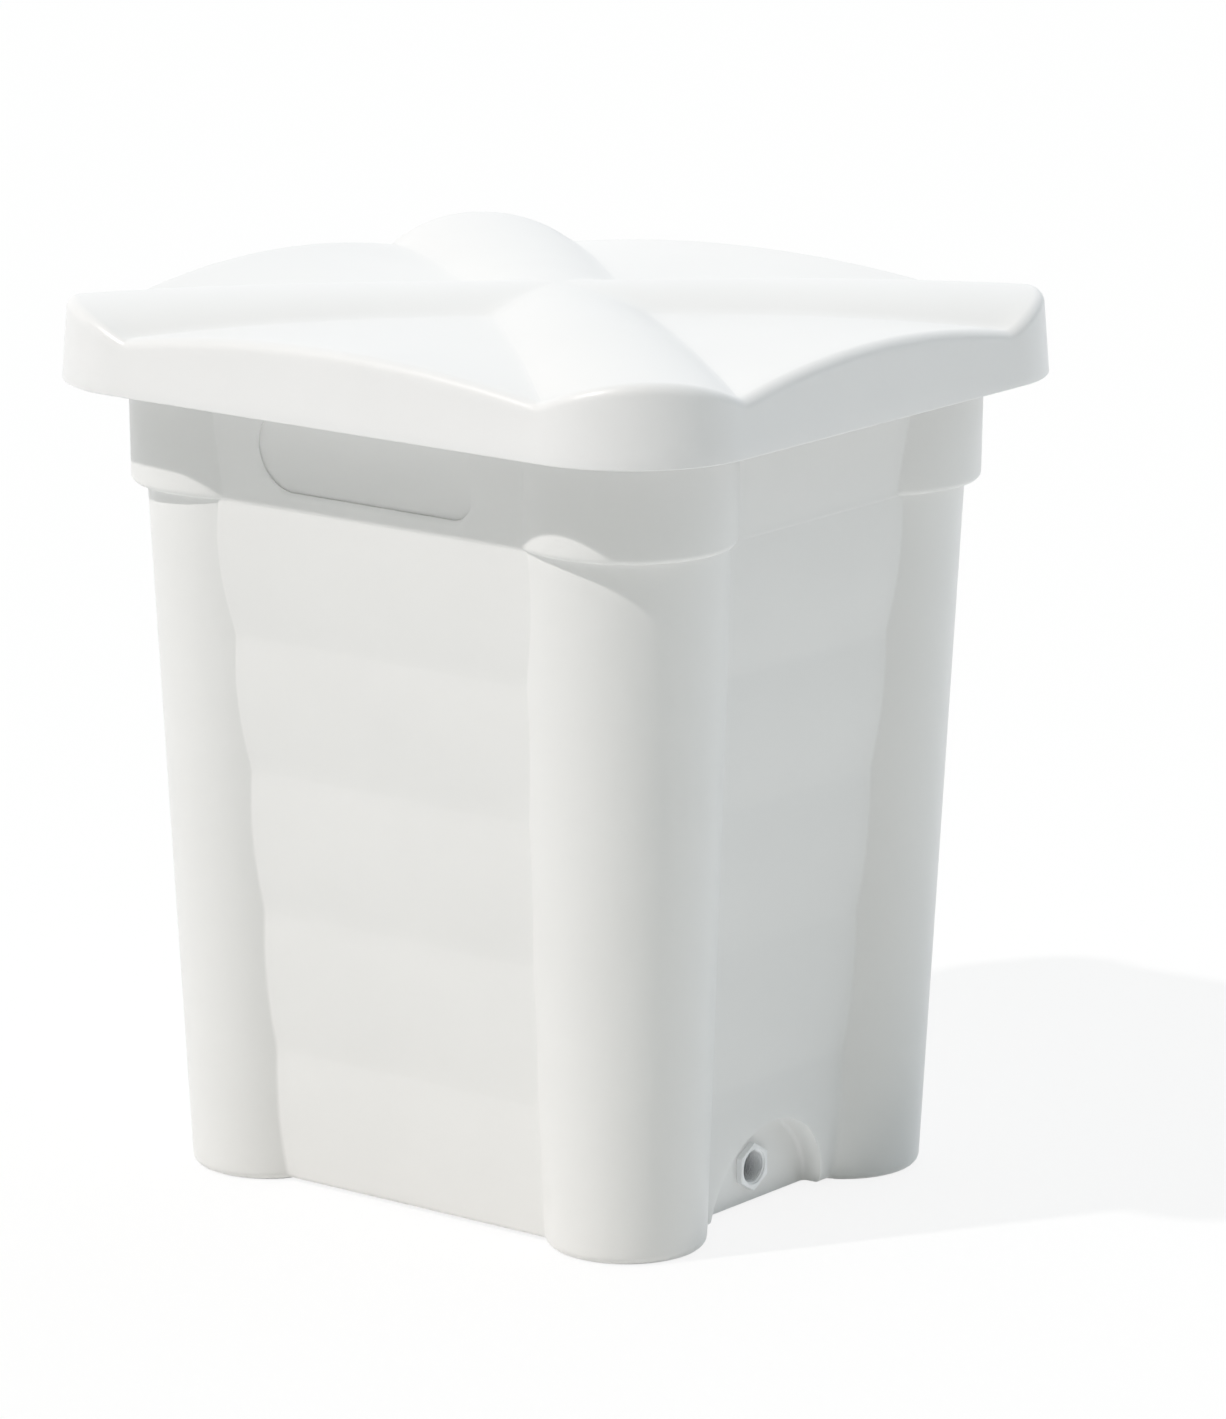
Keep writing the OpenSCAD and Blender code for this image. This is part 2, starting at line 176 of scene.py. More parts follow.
class LidSettings(PropertyGroup):
    corner_radius: length("Corner radius", "Radius of the lid's corners, seen from above", 0.1)
    wall: length("Wall", "Thickness of the lid", 0.005)
    skirt_flare: length("Skirt flare", "Outward flare of the skirt down to its lower edge", 0.004)
    edge_round: length("Edge rounding", "Rounding of the lid's top edge", 0.009)
    lip_round: length("Lip rounding", "Rounding of the skirt's lower edge", 0.001)
    seat_flat: length("Seat", "Depth to which the underside is flat on the rim", 0.002)
    seat_clear: length("Seat clearance", "Gap left between the lid's seat and the rim", 0.0002)
    valley_past_corner: length("Valley", "From the end of a corner's rounding to its valley", 0.01)
    front_arch: length("Front arch", "Rise of the arched edge at front and back", 0.015)
    side_arch: length("Side arch", "Rise of the arched edge at the sides", 0.0165)
    corner_arch: length("Corner arch", "Rise of the arched edge at the corners", 0.019)
    parting_drop: length("Parting drop", "Drop from the middle to where the ridges part", 0.014)
    parting_x: length("Parting X", "From the middle to where the ridges part along X", 0.088)
    parting_y: length("Parting Y", "From the middle to where the ridges part along Y", 0.079)
    parting_tip: length("Parting tip", "Half the width of the tip between parting ridges", 0.006)
    valley_soft: length("Valley blend", "Softness of the valleys where the ridges part", 0.0065)
    valley_crisp: length("Valley end", "Softness of the valleys at the lid's edge", 0.003)
    edge_fall: amount("Edge fall", "Power with which the top falls away to its edge", 2.4)


class OutletSettings(PropertyGroup):
    across_flats: length("Across flats", "Distance across the flats of the insert", 0.032)
    shoulder_flats: length("Shoulder flats", "Distance across the flats of the moulded-in shoulder", 0.036)
    shoulder_thick: length("Shoulder", "Thickness of the moulded-in shoulder", 0.005)
    proud: length("Proud", "How far the insert stands out of the pocket's back", 0.0045)
    hex_round: length("Hex rounding", "Rounding of the insert's edges", 0.0006)
    thread_depth: length("Thread depth", "Depth of the thread", 0.00116)
    thread_pitch: length("Thread pitch", "Pitch of the thread", 0.001814)
    mouth_chamfer: length("Mouth chamfer", "Chamfer at the thread's mouth", 0.0005)


class FinishSettings(PropertyGroup):
    tank: colour("Tank", "Colour of the tank's plastic", FINISHES["tank_plastic"])
    lid: colour("Lid", "Colour of the lid's plastic", FINISHES["lid_plastic"])
    insert: colour("Insert", "Colour of the outlet's insert", FINISHES["insert_plastic"])
    roughness: amount("Roughness", "Roughness of the plastic", 0.36)
    insert_roughness: amount("Insert roughness", "Roughness of the insert", 0.3)
    tank_wave: length("Tank waves", "Depth of the cooling waves on the tank", 0.0006)
    lid_wave: length("Lid waves", "Depth of the cooling waves on the lid", 0.0005)
    insert_wave: length("Insert waves", "Depth of the cooling waves on the insert", 0.0001)
    grain: length("Grain", "Depth of the mould's grain on tank and lid", 0.00003)
    insert_grain: length("Insert grain", "Depth of the mould's grain on the insert", 0.00002)


class StageSettings(PropertyGroup):
    view_azimuth: angle("View azimuth", "Turn of the camera from the front towards +X", 37.69)
    view_elevation: angle("View elevation", "Height of the camera above the horizon", 13.56)
    view_roll: angle("View roll", "Roll of the camera", 0.15)
    view_distance: length("View distance", "From the camera to its aim", 5.617)
    aim_aside: length("Aim aside", "Shift of the camera's aim to its right", 0.04203)
    aim_height: length("Aim height", "Height of the camera's aim", 0.34941)
    lens: amount("Lens", "Focal length in millimetres", 191.15)
    sensor: amount("Sensor", "Width of the camera's sensor in millimetres", 36)
    sun_azimuth: angle("Sun azimuth", "Turn of the key light from the front towards +X", -27)
    sun_elevation: angle("Sun elevation", "Height of the key light", 51.5)
    sun_width: angle("Sun width", "Angular width of the key light", 1.5)
    sun_strength: amount("Sun strength", "Strength of the key light", 2.0)
    sun_colour: colour("Sun colour", "Colour of the key light", (1.0, 0.96, 0.945))
    sky_above: amount("Sky above", "Strength of the plain light from above", 0.53)
    above_colour: colour("Colour above", "Colour of the light from above", (0.95, 1.0, 0.94))
    sky_left: amount("Sky left", "Strength of the plain light from the left", 0.25)
    sky_behind: amount("Sky behind", "Strength of the cool light from behind", 1.0)
    behind_colour: colour("Colour behind", "Colour of the light from behind", (0.77, 0.87, 1.0))
    card_strength: amount("Card strength", "Power in watts of the low card before the outlet", 0.014)
    card_out: length("Card out", "From the insert's face out to the middle of the card", 0.036)
    card_lift: length("Card lift", "Height of the card above the floor", 0.0015)
    card_deep: length("Card depth", "Size of the card along X", 0.045)
    card_wide: length("Card width", "Size of the card along Y", 0.13)
    floor_size: length("Floor size", "Length of the floor's sides", 60)
    floor_colour: colour("Floor colour", "Colour of the floor", (0.92, 0.92, 0.91))
    floor_white: amount("Floor white", "Share of plain white in the floor that is seen", 0.85)


class DrainTankSettings(PropertyGroup):
    tank: PointerProperty(type=TankSettings)
    pocket: PointerProperty(type=PocketSettings)
    lid: PointerProperty(type=LidSettings)
    outlet: PointerProperty(type=OutletSettings)
    finish: PointerProperty(type=FinishSettings)
    stage: PointerProperty(type=StageSettings)


# Shader graphs
class Value:
    """A socket's output, on which Python arithmetic adds Math nodes."""

    def __init__(self, graph, socket):
        self.graph = graph
        self.socket = socket

    def math(self, operation, first, second):
        return self.graph.node("ShaderNodeMath", {"operation": operation}, {0: first, 1: second})

    def __add__(self, other):
        return self.math("ADD", self, other)

    def __radd__(self, other):
        return self.math("ADD", other, self)

    def __mul__(self, other):
        return self.math("MULTIPLY", self, other)

    def __rmul__(self, other):
        return self.math("MULTIPLY", other, self)


class Graph:
    """Nodes of one material or of the world."""

    def __init__(self, tree):
        self.tree = tree
        tree.nodes.clear()

    def node(self, kind, settings, inputs, output=0):
        made = self.tree.nodes.new(kind)
        for name, value in settings.items():
            setattr(made, name, value)
        for name, value in inputs.items():
            if isinstance(value, Value):
                self.tree.links.new(value.socket, made.inputs[name])
            else:
                made.inputs[name].default_value = value
        return Value(self, made.outputs[output]) if made.outputs else None

    def noise(self, place, scale, detail):
        return self.node("ShaderNodeTexNoise", {}, {"Vector": place, "Scale": scale, "Detail": detail})

    def blend(self, factor, first, second):
        # Sockets 6 and 7 are the ones that take colours
        inputs = {0: factor, 6: (*first, 1), 7: (*second, 1)}
        return self.node("ShaderNodeMix", {"data_type": "RGBA"}, inputs, 2)


def shaded(base, share):
    return tuple(channel * share for channel in base)


def moulded_plastic(name, base, roughness, wave_depth, grain_depth):
    """Satin plastic with a faint cloudiness, slow waves from cooling and a fine grain from the mould."""
    material = bpy.data.materials.new(name)
    material.use_nodes = True
    graph = Graph(material.node_tree)
    place = graph.node("ShaderNodeTexCoord", {}, {}, "Object")
    clouds, specks, waves, grain = (graph.noise(place, *kind) for kind in (CLOUDS, SPECKS, WAVES, GRAIN))
    slow = {"Strength": 1, "Distance": wave_depth, "Height": waves}
    slow_normal = graph.node("ShaderNodeBump", {}, slow)
    fine = {"Strength": GRAIN_STRENGTH, "Distance": grain_depth, "Height": grain, "Normal": slow_normal}
    least_rough = roughness - (CLOUD_SPREAD + SPECK_SPREAD) / 2
    surface = {
        "Base Color": graph.blend(clouds, *(shaded(base, share) for share in CLOUD_TINTS)),
        "Roughness": least_rough + CLOUD_SPREAD * clouds + SPECK_SPREAD * specks,
        "Normal": graph.node("ShaderNodeBump", {}, fine),
    }
    shader = graph.node("ShaderNodeBsdfPrincipled", {}, surface)
    graph.node("ShaderNodeOutputMaterial", {}, {"Surface": shader})
    return material


# Modelling by operators
def make_active(piece):
    bpy.ops.object.select_all(action="DESELECT")
    piece.select_set(True)
    bpy.context.view_layer.objects.active = piece


def lerp(start, end, share):
    return start + (end - start) * share


def steps(start, end, count):
    return [lerp(start, end, i / count) for i in range(count + 1)]


def eased(count):
    """Shares from 0 to 1, closer together towards both ends."""
    return [(1 - math.cos(math.pi * i / count)) / 2 for i in range(count + 1)]


def mirrored(quarter):
    """The items of a quarter all round the four corners, each with the signs of its X and Y."""
    back = quarter[:0:-1]
    parts = ((quarter[:-1], 1, 1), (back, -1, 1), (quarter[:-1], -1, -1), (back, 1, -1))
    return [(item, x, y) for part, x, y in parts for item in part]


def hex_radius(across_flats):
    return across_flats / math.sqrt(3)


def extruded(vert):
    """The corner that an extrusion has drawn out of this one."""
    ends = (edge.other_vert(vert) for edge in vert.link_edges)
    return next(end for end in ends if end.select)


def draw_out(name, rings):
    """A closed mesh: a filled circle takes the first ring's shape and is extruded on to each next ring."""
    bpy.ops.object.select_all(action="DESELECT")
    bpy.ops.mesh.primitive_circle_add(vertices=len(rings[0]), fill_type="NGON", enter_editmode=True)
    piece = bpy.context.object
    piece.name = name
    piece.data.name = name
    ring = list(bmesh.from_edit_mesh(piece.data).verts)
    for number, outline in enumerate(rings):
        if number:
            bpy.ops.mesh.extrude_region()
            ring = [extruded(vert) for vert in ring]
        for vert, point in zip(ring, outline):
            vert.co = point
    bpy.ops.mesh.select_all(action="SELECT")
    bpy.ops.mesh.remove_doubles(threshold=WELD)
    bpy.ops.mesh.normals_make_consistent(inside=False)
    bpy.ops.object.mode_set(mode="OBJECT")
    return piece


def combine(piece, tool, operation):
    """Unite a piece with a tool, or cut it by one. The tool is used up."""
    make_active(piece)
    boolean = piece.modifiers.new("Combine", "BOOLEAN")
    boolean.operation = operation
    boolean.solver = "MANIFOLD"
    boolean.object = tool
    bpy.ops.object.modifier_apply(modifier=boolean.name)
    bpy.data.objects.remove(tool)


def round_edges(piece, wanted, width, segments):
    """Bevel the sharp edges whose middle is wanted."""
    make_active(piece)
    bpy.ops.object.mode_set(mode="EDIT")
    bpy.ops.mesh.select_mode(type="EDGE")
    bpy.ops.mesh.select_all(action="DESELECT")
    bpy.ops.mesh.edges_select_sharp(sharpness=SHARP)
    mesh = bmesh.from_edit_mesh(piece.data)
    for edge in mesh.edges:
        if edge.select and not wanted((edge.verts[0].co + edge.verts[1].co) / 2):
            edge.select_set(False)
    bpy.ops.mesh.bevel(offset=width, segments=segments, affect="EDGES", clamp_overlap=True)
    bpy.ops.object.mode_set(mode="OBJECT")


def cut_flat(piece, point, outward):
    """Cut off what lies beyond a plane and close the cut."""
    make_active(piece)
    bpy.ops.object.mode_set(mode="EDIT")
    bpy.ops.mesh.select_all(action="SELECT")
    bpy.ops.mesh.bisect(plane_co=point, plane_no=outward, use_fill=True, clear_outer=True)
    bpy.ops.object.mode_set(mode="OBJECT")


def settle(piece):
    """Put a primitive's place into its mesh."""
    make_active(piece)
    bpy.ops.object.transform_apply(location=True, rotation=True, scale=True)
    return piece


def bar_along_x(name, start, end, start_radius, end_radius, height, sides):
    """A bar or cone along X with its first corner straight up."""
    bpy.ops.object.select_all(action="DESELECT")
    bpy.ops.mesh.primitive_cone_add(
        vertices=sides,
        radius1=start_radius,
        radius2=end_radius,
        depth=end - start,
        location=((start + end) / 2, 0, height),
        rotation=(math.pi / 2, 0, math.pi / 2),
    )
    piece = bpy.context.object
    piece.name = name
    return settle(piece)


def weld(piece):
    """Merge the corners and drop the flat slivers that cuts leave in one place."""
    make_active(piece)
    bpy.ops.object.mode_set(mode="EDIT")
    bpy.ops.mesh.select_all(action="SELECT")
    bpy.ops.mesh.remove_doubles(threshold=WELD)
    bpy.ops.mesh.dissolve_degenerate(threshold=WELD)
    bpy.ops.object.mode_set(mode="OBJECT")


def finish_piece(piece, body, node, material):
    """Clean mesh, smooth shading and finish; hides the imported part that the piece replaces and hangs the
    piece on the body it rides on.
    """
    weld(piece)
    bpy.ops.object.shade_smooth_by_angle(angle=SHARP)
    piece.data.materials.clear()
    piece.data.materials.append(material)
    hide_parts(node)
    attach(piece, body)


# Tank
class Level(NamedTuple):
    """One level of the tank's wall: a column's axis and radius, the faces, the blends and the heights."""

    x: float
    y: float
    radius: float
    side: float
    front: float
    blend: float
    column_z: float
    face_z: float

    def mixed(self, other, share):
        return Level(*(lerp(a, b, share) for a, b in zip(self, other)))

    def inset(self, distance):
        return self._replace(
            radius=self.radius - distance,
            side=self.side - distance,
            front=self.front - distance,
            blend=self.blend + distance,
        )

    def lifted(self, column_rise, face_rise):
        return self._replace(column_z=self.column_z + column_rise, face_z=self.face_z + face_rise)


# Points along half a side, a blend, a column and half a front
SIDE_POINTS = 10
BLEND_POINTS = 5
COLUMN_POINTS = 28
FRONT_POINTS = 12


def arc_points(centre, radius, start, end, count):
    turns = (lerp(start, end, i / count) for i in range(count))
    return [(centre[0] + radius * math.cos(a), centre[1] + radius * math.sin(a)) for a in turns]


def quarter_outline(level):
    """From the middle of a side, round a column, to the middle of the front."""
    x, y, radius, side, front, blend, column_z, face_z = level
    reach = radius + blend
    side_y = y - math.sqrt(max(0, reach**2 - (side + blend - x) ** 2))
    front_x = x - math.sqrt(max(0, reach**2 - (front + blend - y) ** 2))
    side_turn = math.atan2(side_y - y, side + blend - x)
    front_turn = math.atan2(front + blend - y, front_x - x)
    flat = [(side, side_y * i / SIDE_POINTS) for i in range(SIDE_POINTS)]
    flat += arc_points((side + blend, side_y), blend, math.pi, math.pi + side_turn, BLEND_POINTS)
    flat += arc_points((x, y), radius, side_turn, front_turn, COLUMN_POINTS)
    flat += arc_points((front_x, front + blend), blend, math.pi + front_turn, 1.5 * math.pi, BLEND_POINTS)
    flat += [(front_x * (1 - i / FRONT_POINTS), front) for i in range(FRONT_POINTS + 1)]
    rise = [i / BLEND_POINTS for i in range(BLEND_POINTS)]
    shares = [0] * SIDE_POINTS + rise + [1] * COLUMN_POINTS
    shares += [1 - share for share in rise] + [0] * (FRONT_POINTS + 1)
    return [Vector((*point, lerp(face_z, column_z, share))) for point, share in zip(flat, shares)]


def outlines(levels):
    return [quarter_outline(level) for level in levels]


def all_round(quarter):
    """A quarter outline, mirrored round all four corners."""
    return [Vector((x * point.x, y * point.y, point.z)) for point, x, y in mirrored(quarter)]


class TankForm:
    """Levels of the tank's wall, worked out from its settings."""

    # Levels in a tier, in a rounding, in the blend under the ledge and up the band
    TIER_LEVELS = 12
    ROUND_LEVELS = 6
    HOLLOW_LEVELS = 4
    BAND_LEVELS = 8
    # Places under the rim, as shares of the way out from the band
    UNDER_RIM = (0.1, 0.5)
    # Places at which a face is averaged to soften its creases
    SOFTENING = (-1, -0.6, -0.3, 0, 0.3, 0.6, 1)

    def __init__(self, tank, lid):
        self.tank = tank
        self.lid = lid
        self.tiers = [tank.panel_gap, *tank.creases, tank.collar_z]
        neck_x = tank.column_x + tank.lean_x
        neck_y = tank.column_y + tank.lean_y
        self.side_panel = neck_x + tank.side_panel_out
        self.front_panel = neck_y + tank.front_panel_out
        self.collar_x = neck_x + tank.collar_out_x
        self.collar_y = neck_y + tank.collar_out_y
        self.rim_low = TANK_HIGH.z - tank.rim_thick

    def tier_drop(self, z):
        """How many tiers' steps a face lies behind its top edge at a height, with sharp creases."""
        count = len(self.tiers) - 1
        tier = next((i for i in range(count) if z < self.tiers[i + 1]), count - 1)
        low, high = self.tiers[tier : tier + 2]
        share = (high - z) / (high - low)
        return count - 1 - tier + share * abs(share)

    def soft_drop(self, z):
        drops = [self.tier_drop(z + place * self.tank.crease_blend) for place in self.SOFTENING]
        return sum(drops) / len(drops)

    def wall_level(self, z):
        """The columns and panels at a height below the collars."""
        tank = self.tank
        share = z / tank.collar_z
        drop = self.soft_drop(z)
        return Level(
            tank.column_x + tank.lean_x * share,
            tank.column_y + tank.lean_y * share,
            lerp(tank.foot_radius, tank.neck_radius, share),
            self.side_panel - tank.side_tier * drop,
            self.front_panel - tank.front_tier * drop,
            tank.column_blend,
            z,
            z,
        )

    def collar_level(self, z):
        """The collars and band at a height."""
        tank = self.tank
        rise = z - tank.collar_z - tank.collar_round
        return Level(
            self.collar_x,
            self.collar_y,
            tank.collar_radius + rise * math.tan(tank.collar_draft),
            self.side_panel + tank.side_band_step + rise * math.tan(tank.side_draft),
            self.front_panel + tank.front_band_step + rise * math.tan(tank.front_draft),
            tank.column_blend,
            z,
            z,
        )

    def rim_level(self, z):
        tank, lid = self.tank, self.lid
        gap = lid.skirt_flare + lid.wall + tank.rim_gap
        return Level(
            LID_HIGH.x - lid.corner_radius,
            LID_HIGH.y - lid.corner_radius,
            lid.corner_radius - gap,
            LID_HIGH.x - gap,
            LID_HIGH.y - gap,
            tank.column_blend,
            z,
            z,
        )

    def foot_levels(self):
        """Rounded feet, and the panels' rounded lower edge a little above them."""
        tank = self.tank
        levels = []
        for turn in steps(-math.pi / 2, 0, self.ROUND_LEVELS):
            foot_z = tank.foot_round * (1 + math.sin(turn))
            face_z = tank.panel_gap + tank.panel_round * (1 + math.sin(turn))
            level = self.wall_level(face_z)
            back = tank.panel_round * (1 - math.cos(turn))
            foot_back = tank.foot_round * (1 - math.cos(turn))
            levels.append(
                level._replace(
                    radius=self.wall_level(foot_z).radius - foot_back,
                    side=level.side - back,
                    front=level.front - back,
                    column_z=foot_z,
                    face_z=face_z,
                )
            )
        return levels

    def wall_levels(self, low, high):
        heights = [low]
        ends = [low, *self.tank.creases, high]
        for start, end in zip(ends, ends[1:]):
            heights += [lerp(start, end, share) for share in eased(self.TIER_LEVELS)[1:]]
        return [self.wall_level(z) for z in heights]

    def ledge(self, inset):
        """Outlines from the columns and panels out to the collars and band.

        A hollow blend, a level ledge and a rounded edge, each narrower where the overhang is slight.
        """
        tank = self.tank
        hollow, rounded = tank.ledge_blend, tank.collar_round
        z = tank.collar_z + inset
        starts = quarter_outline(self.wall_level(tank.collar_z).inset(inset))
        ends = quarter_outline(self.collar_level(tank.collar_z + rounded).inset(inset))

        def moved(origins, others, distance, height):
            outline = []
            for origin, other in zip(origins, others):
                share = distance / max((other - origin).xy.length, hollow + rounded)
                outline.append(Vector((*origin.xy.lerp(other.xy, share), height)))
            return outline

        rings = []
        for turn in steps(0, math.pi / 2, self.HOLLOW_LEVELS):
            height = z - hollow * (1 - math.sin(turn))
            rings.append(moved(starts, ends, hollow * (1 - math.cos(turn)), height))
        for turn in steps(0, math.pi / 2, self.ROUND_LEVELS):
            height = z + rounded * (1 - math.cos(turn))
            rings.append(moved(ends, starts, rounded * (1 - math.sin(turn)), height))
        return rings

    def band_levels(self, low, high):
        return [self.collar_level(z) for z in steps(low, high, self.BAND_LEVELS)]

    def rim_levels(self):
        """Out under the rim, round its edge and back to the mouth."""
        tank = self.tank
        low, high, edge = self.rim_low, TANK_HIGH.z, tank.rim_round
        below = self.collar_level(low)
        mouth = self.collar_level(high).inset(tank.wall)
        levels = [below.mixed(self.rim_level(low), share) for share in self.UNDER_RIM]
        levels += [self.rim_level(low).inset(edge), self.rim_level(low + edge)]
        levels += [self.rim_level(high - edge), self.rim_level(high).inset(edge)]
        levels += [mouth.inset(-edge), mouth.lifted(-edge, -edge)]
        return levels

    def outside(self):
        tank = self.tank
        feet = self.foot_levels()
        low = feet[-1].column_z + tank.crease_blend / 2
        walls = feet + self.wall_levels(low, tank.collar_z - 2 * tank.ledge_blend)
        band = self.band_levels(tank.collar_z + 2 * tank.collar_round, self.rim_low - tank.rim_round)
        return outlines(walls) + self.ledge(0) + outlines(band + self.rim_levels())

    def inside(self):
        """The inside of the wall, from the floor up."""
        tank = self.tank
        floor = tank.panel_gap + tank.wall
        feet = []
        for turn in steps(-math.pi / 2, 0, self.ROUND_LEVELS):
            z = floor + tank.floor_round * (1 + math.sin(turn))
            back = tank.floor_round * (1 - math.cos(turn))
            feet.append(self.wall_level(z).inset(back))
        low = feet[-1].column_z + tank.crease_blend / 2
        walls = feet + self.wall_levels(low, tank.collar_z + tank.wall - 2 * tank.ledge_blend)
        foot = tank.collar_z + tank.wall + 2 * tank.collar_round
        band = self.band_levels(foot, TANK_HIGH.z - 2 * tank.rim_round)
        walls = outlines(level.inset(tank.wall) for level in walls)
        return walls + self.ledge(tank.wall) + outlines(level.inset(tank.wall) for level in band)

    def foot_outline(self, radius, z, inset):
        """Outline past the inner side of each foot, set in from the panels' lower edges."""
        foot = self.foot_levels()[0]
        gap, blend = self.tank.panel_gap, foot.blend
        side, front = foot.side - inset, foot.front - inset
        start = -math.acos((side - foot.x) / radius)
        end = -math.pi - math.asin((front - foot.y) / radius)
        side_y = foot.y + radius * math.sin(start) - blend
        front_x = foot.x + radius * math.cos(end) - blend
        shares = [i / BLEND_POINTS for i in range(BLEND_POINTS)]
        outline = [(side, side_y * i / SIDE_POINTS, gap) for i in range(SIDE_POINTS)]
        outline += [(side, side_y + blend * share, lerp(gap, z, share)) for share in shares]
        around = arc_points((foot.x, foot.y), radius, start, end, COLUMN_POINTS)
        outline += [(*point, z) for point in around]
        outline += [(front_x + blend * (1 - share), front, lerp(z, gap, share)) for share in shares]
        outline += [(front_x * (1 - i / FRONT_POINTS), front, gap) for i in range(FRONT_POINTS + 1)]
        return [Vector(point) for point in outline]

    def underside(self):
        """From the recess between the feet, down the inner side of each foot."""
        gap = self.tank.panel_gap
        radius = self.foot_levels()[0].radius
        return [self.foot_outline(radius + gap, gap, 3 * gap), self.foot_outline(radius, 0, 2 * gap)]

    def rings(self):
        quarters = self.underside() + self.outside() + self.inside()[::-1]
        return [all_round(quarter) for quarter in quarters]

    def pocket_back(self):
        """Where the back of the outlet's pocket lies along X."""
        return INSERT_HIGH.x - bpy.context.scene.drain_tank.outlet.proud


def pocket_cone(name, form, pocket, extra, start, end):
    """The pocket's own shape along X, grown by the given amount."""
    tank = form.tank
    depth = pocket.depth + tank.side_tier * (len(form.tiers) - 1)
    slope = pocket.flare / depth
    low = pocket.radius + extra
    return bar_along_x(name, start, end, low, low + slope * (end - start), 0, ROUND_SIDES)


def pocket_wall(form, pocket):
    """Wall behind the pocket, from the floor up, ending inside the thickness of the panel."""
    tank = form.tank
    back = form.pocket_back() - tank.wall
    low = form.wall_level(tank.panel_gap).side - tank.wall / 2
    top = pocket.radius + tank.wall
    high = form.wall_level(top).side - tank.wall / 2
    wall = pocket_cone("pocket_wall", form, pocket, tank.wall, back, high + tank.wall)
    cut_flat(wall, (0, 0, tank.panel_gap + tank.wall / 2), (0, 0, -1))
    cut_flat(wall, (low, 0, 0), Vector((top, 0, low - high)).normalized())
    return wall


def insert_boss(form, outlet):
    """Round boss inside the tank that holds the insert."""
    radius = hex_radius(outlet.shoulder_flats) + form.tank.wall
    end = form.pocket_back() - form.tank.wall / 2
    boss = bar_along_x("insert_boss", INSERT_LOW.x, end, radius, radius, OUTLET_Z, BOSS_SIDES)
    cut_flat(boss, (0, 0, form.tank.panel_gap + form.tank.wall / 2), (0, 0, -1))
    return boss


def cut_pocket(piece, form, pocket, outlet):
    """The half-round pocket for the outlet, with the insert's seat in its back."""
    back = form.pocket_back()
    combine(piece, pocket_wall(form, pocket), "UNION")
    combine(piece, insert_boss(form, outlet), "UNION")
    reach = TANK_HIGH.x
    tool = pocket_cone("pocket_tool", form, pocket, 0, back, reach)
    round_edges(tool, lambda middle: middle.x < back + WELD, pocket.back_round, segments=4)
    combine(piece, tool, "DIFFERENCE")

    def at_mouth(middle):
        near = abs(middle.yz.length - pocket.radius - pocket.flare / 2) < pocket.flare
        return near and middle.x > back + 2 * pocket.back_round and middle.z > form.tank.panel_gap

    round_edges(piece, at_mouth, pocket.mouth_round, segments=4)
    radius = hex_radius(outlet.across_flats)
    low = INSERT_LOW.x - form.tank.wall
    seat = bar_along_x("insert_seat", low, reach, radius, radius, OUTLET_Z, HEX_SIDES)
    round_edges(seat, lambda middle: True, outlet.hex_round, segments=3)
    combine(piece, seat, "DIFFERENCE")


# Points around the label pad's round left end and each of its right corners
PAD_END_POINTS = 24
PAD_CORNER_POINTS = 10


def pad_ring(pocket, form, out):
    """Outline of the label pad on the leaning front band, moved out along the band's normal."""
    tank = form.tank
    low_z = tank.collar_z + tank.collar_round
    lean = Matrix.Rotation(tank.front_draft, 4, "X")
    foot = Vector((0, -form.collar_level(low_z).front, low_z))
    end, corner, tall = pocket.pad_tall / 2, pocket.pad_corner, pocket.pad_tall
    flat = arc_points((end - pocket.pad_left, end), end, math.pi / 2, 1.5 * math.pi, PAD_END_POINTS)
    right = pocket.pad_right - corner
    flat += arc_points((right, corner), corner, -math.pi / 2, 0, PAD_CORNER_POINTS)
    flat += arc_points((right, tall - corner), corner, 0, math.pi / 2, PAD_CORNER_POINTS)
    low = pocket.pad_low - tank.collar_round
    return [foot + lean @ Vector((x, -out, low + z)) for x, z in flat]


def cut_pad(piece, form, pocket):
    """Shallow bare pad for a label on the front band."""
    rings = [pad_ring(pocket, form, -pocket.pad_depth), pad_ring(pocket, form, form.tank.wall)]
    combine(piece, draw_out("pad_tool", rings), "DIFFERENCE")
    box = [Vector(f(p[i] for p in rings[0] + rings[1]) for i in range(3)) for f in (min, max)]

    def on_pad(middle):
        return all(box[0][i] - WELD < middle[i] < box[1][i] + WELD for i in range(3))

    round_edges(piece, on_pad, pocket.pad_round, segments=2)


class DRAINTANK_OT_tank(Operator):
    """Model the tank: feet, tiered panels, collars, rim, label pad and outlet pocket in one moulding"""

    bl_idname = "draintank.tank"
    bl_label = "Tank"

    def execute(self, context):
        settings = context.scene.drain_tank
        form = TankForm(settings.tank, settings.lid)
        piece = draw_out("tank_moulding", form.rings())
        cut_pocket(piece, form, settings.pocket, settings.outlet)
        cut_pad(piece, form, settings.pocket)
        finish = settings.finish
        depths = finish.tank_wave, finish.grain
        plastic = moulded_plastic("tank_polyethylene", finish.tank, finish.roughness, *depths)
        finish_piece(piece, "tank", "tank_shell", plastic)
        return {"FINISHED"}


# Lid
SIDE, CORNER, FRONT = range(3)


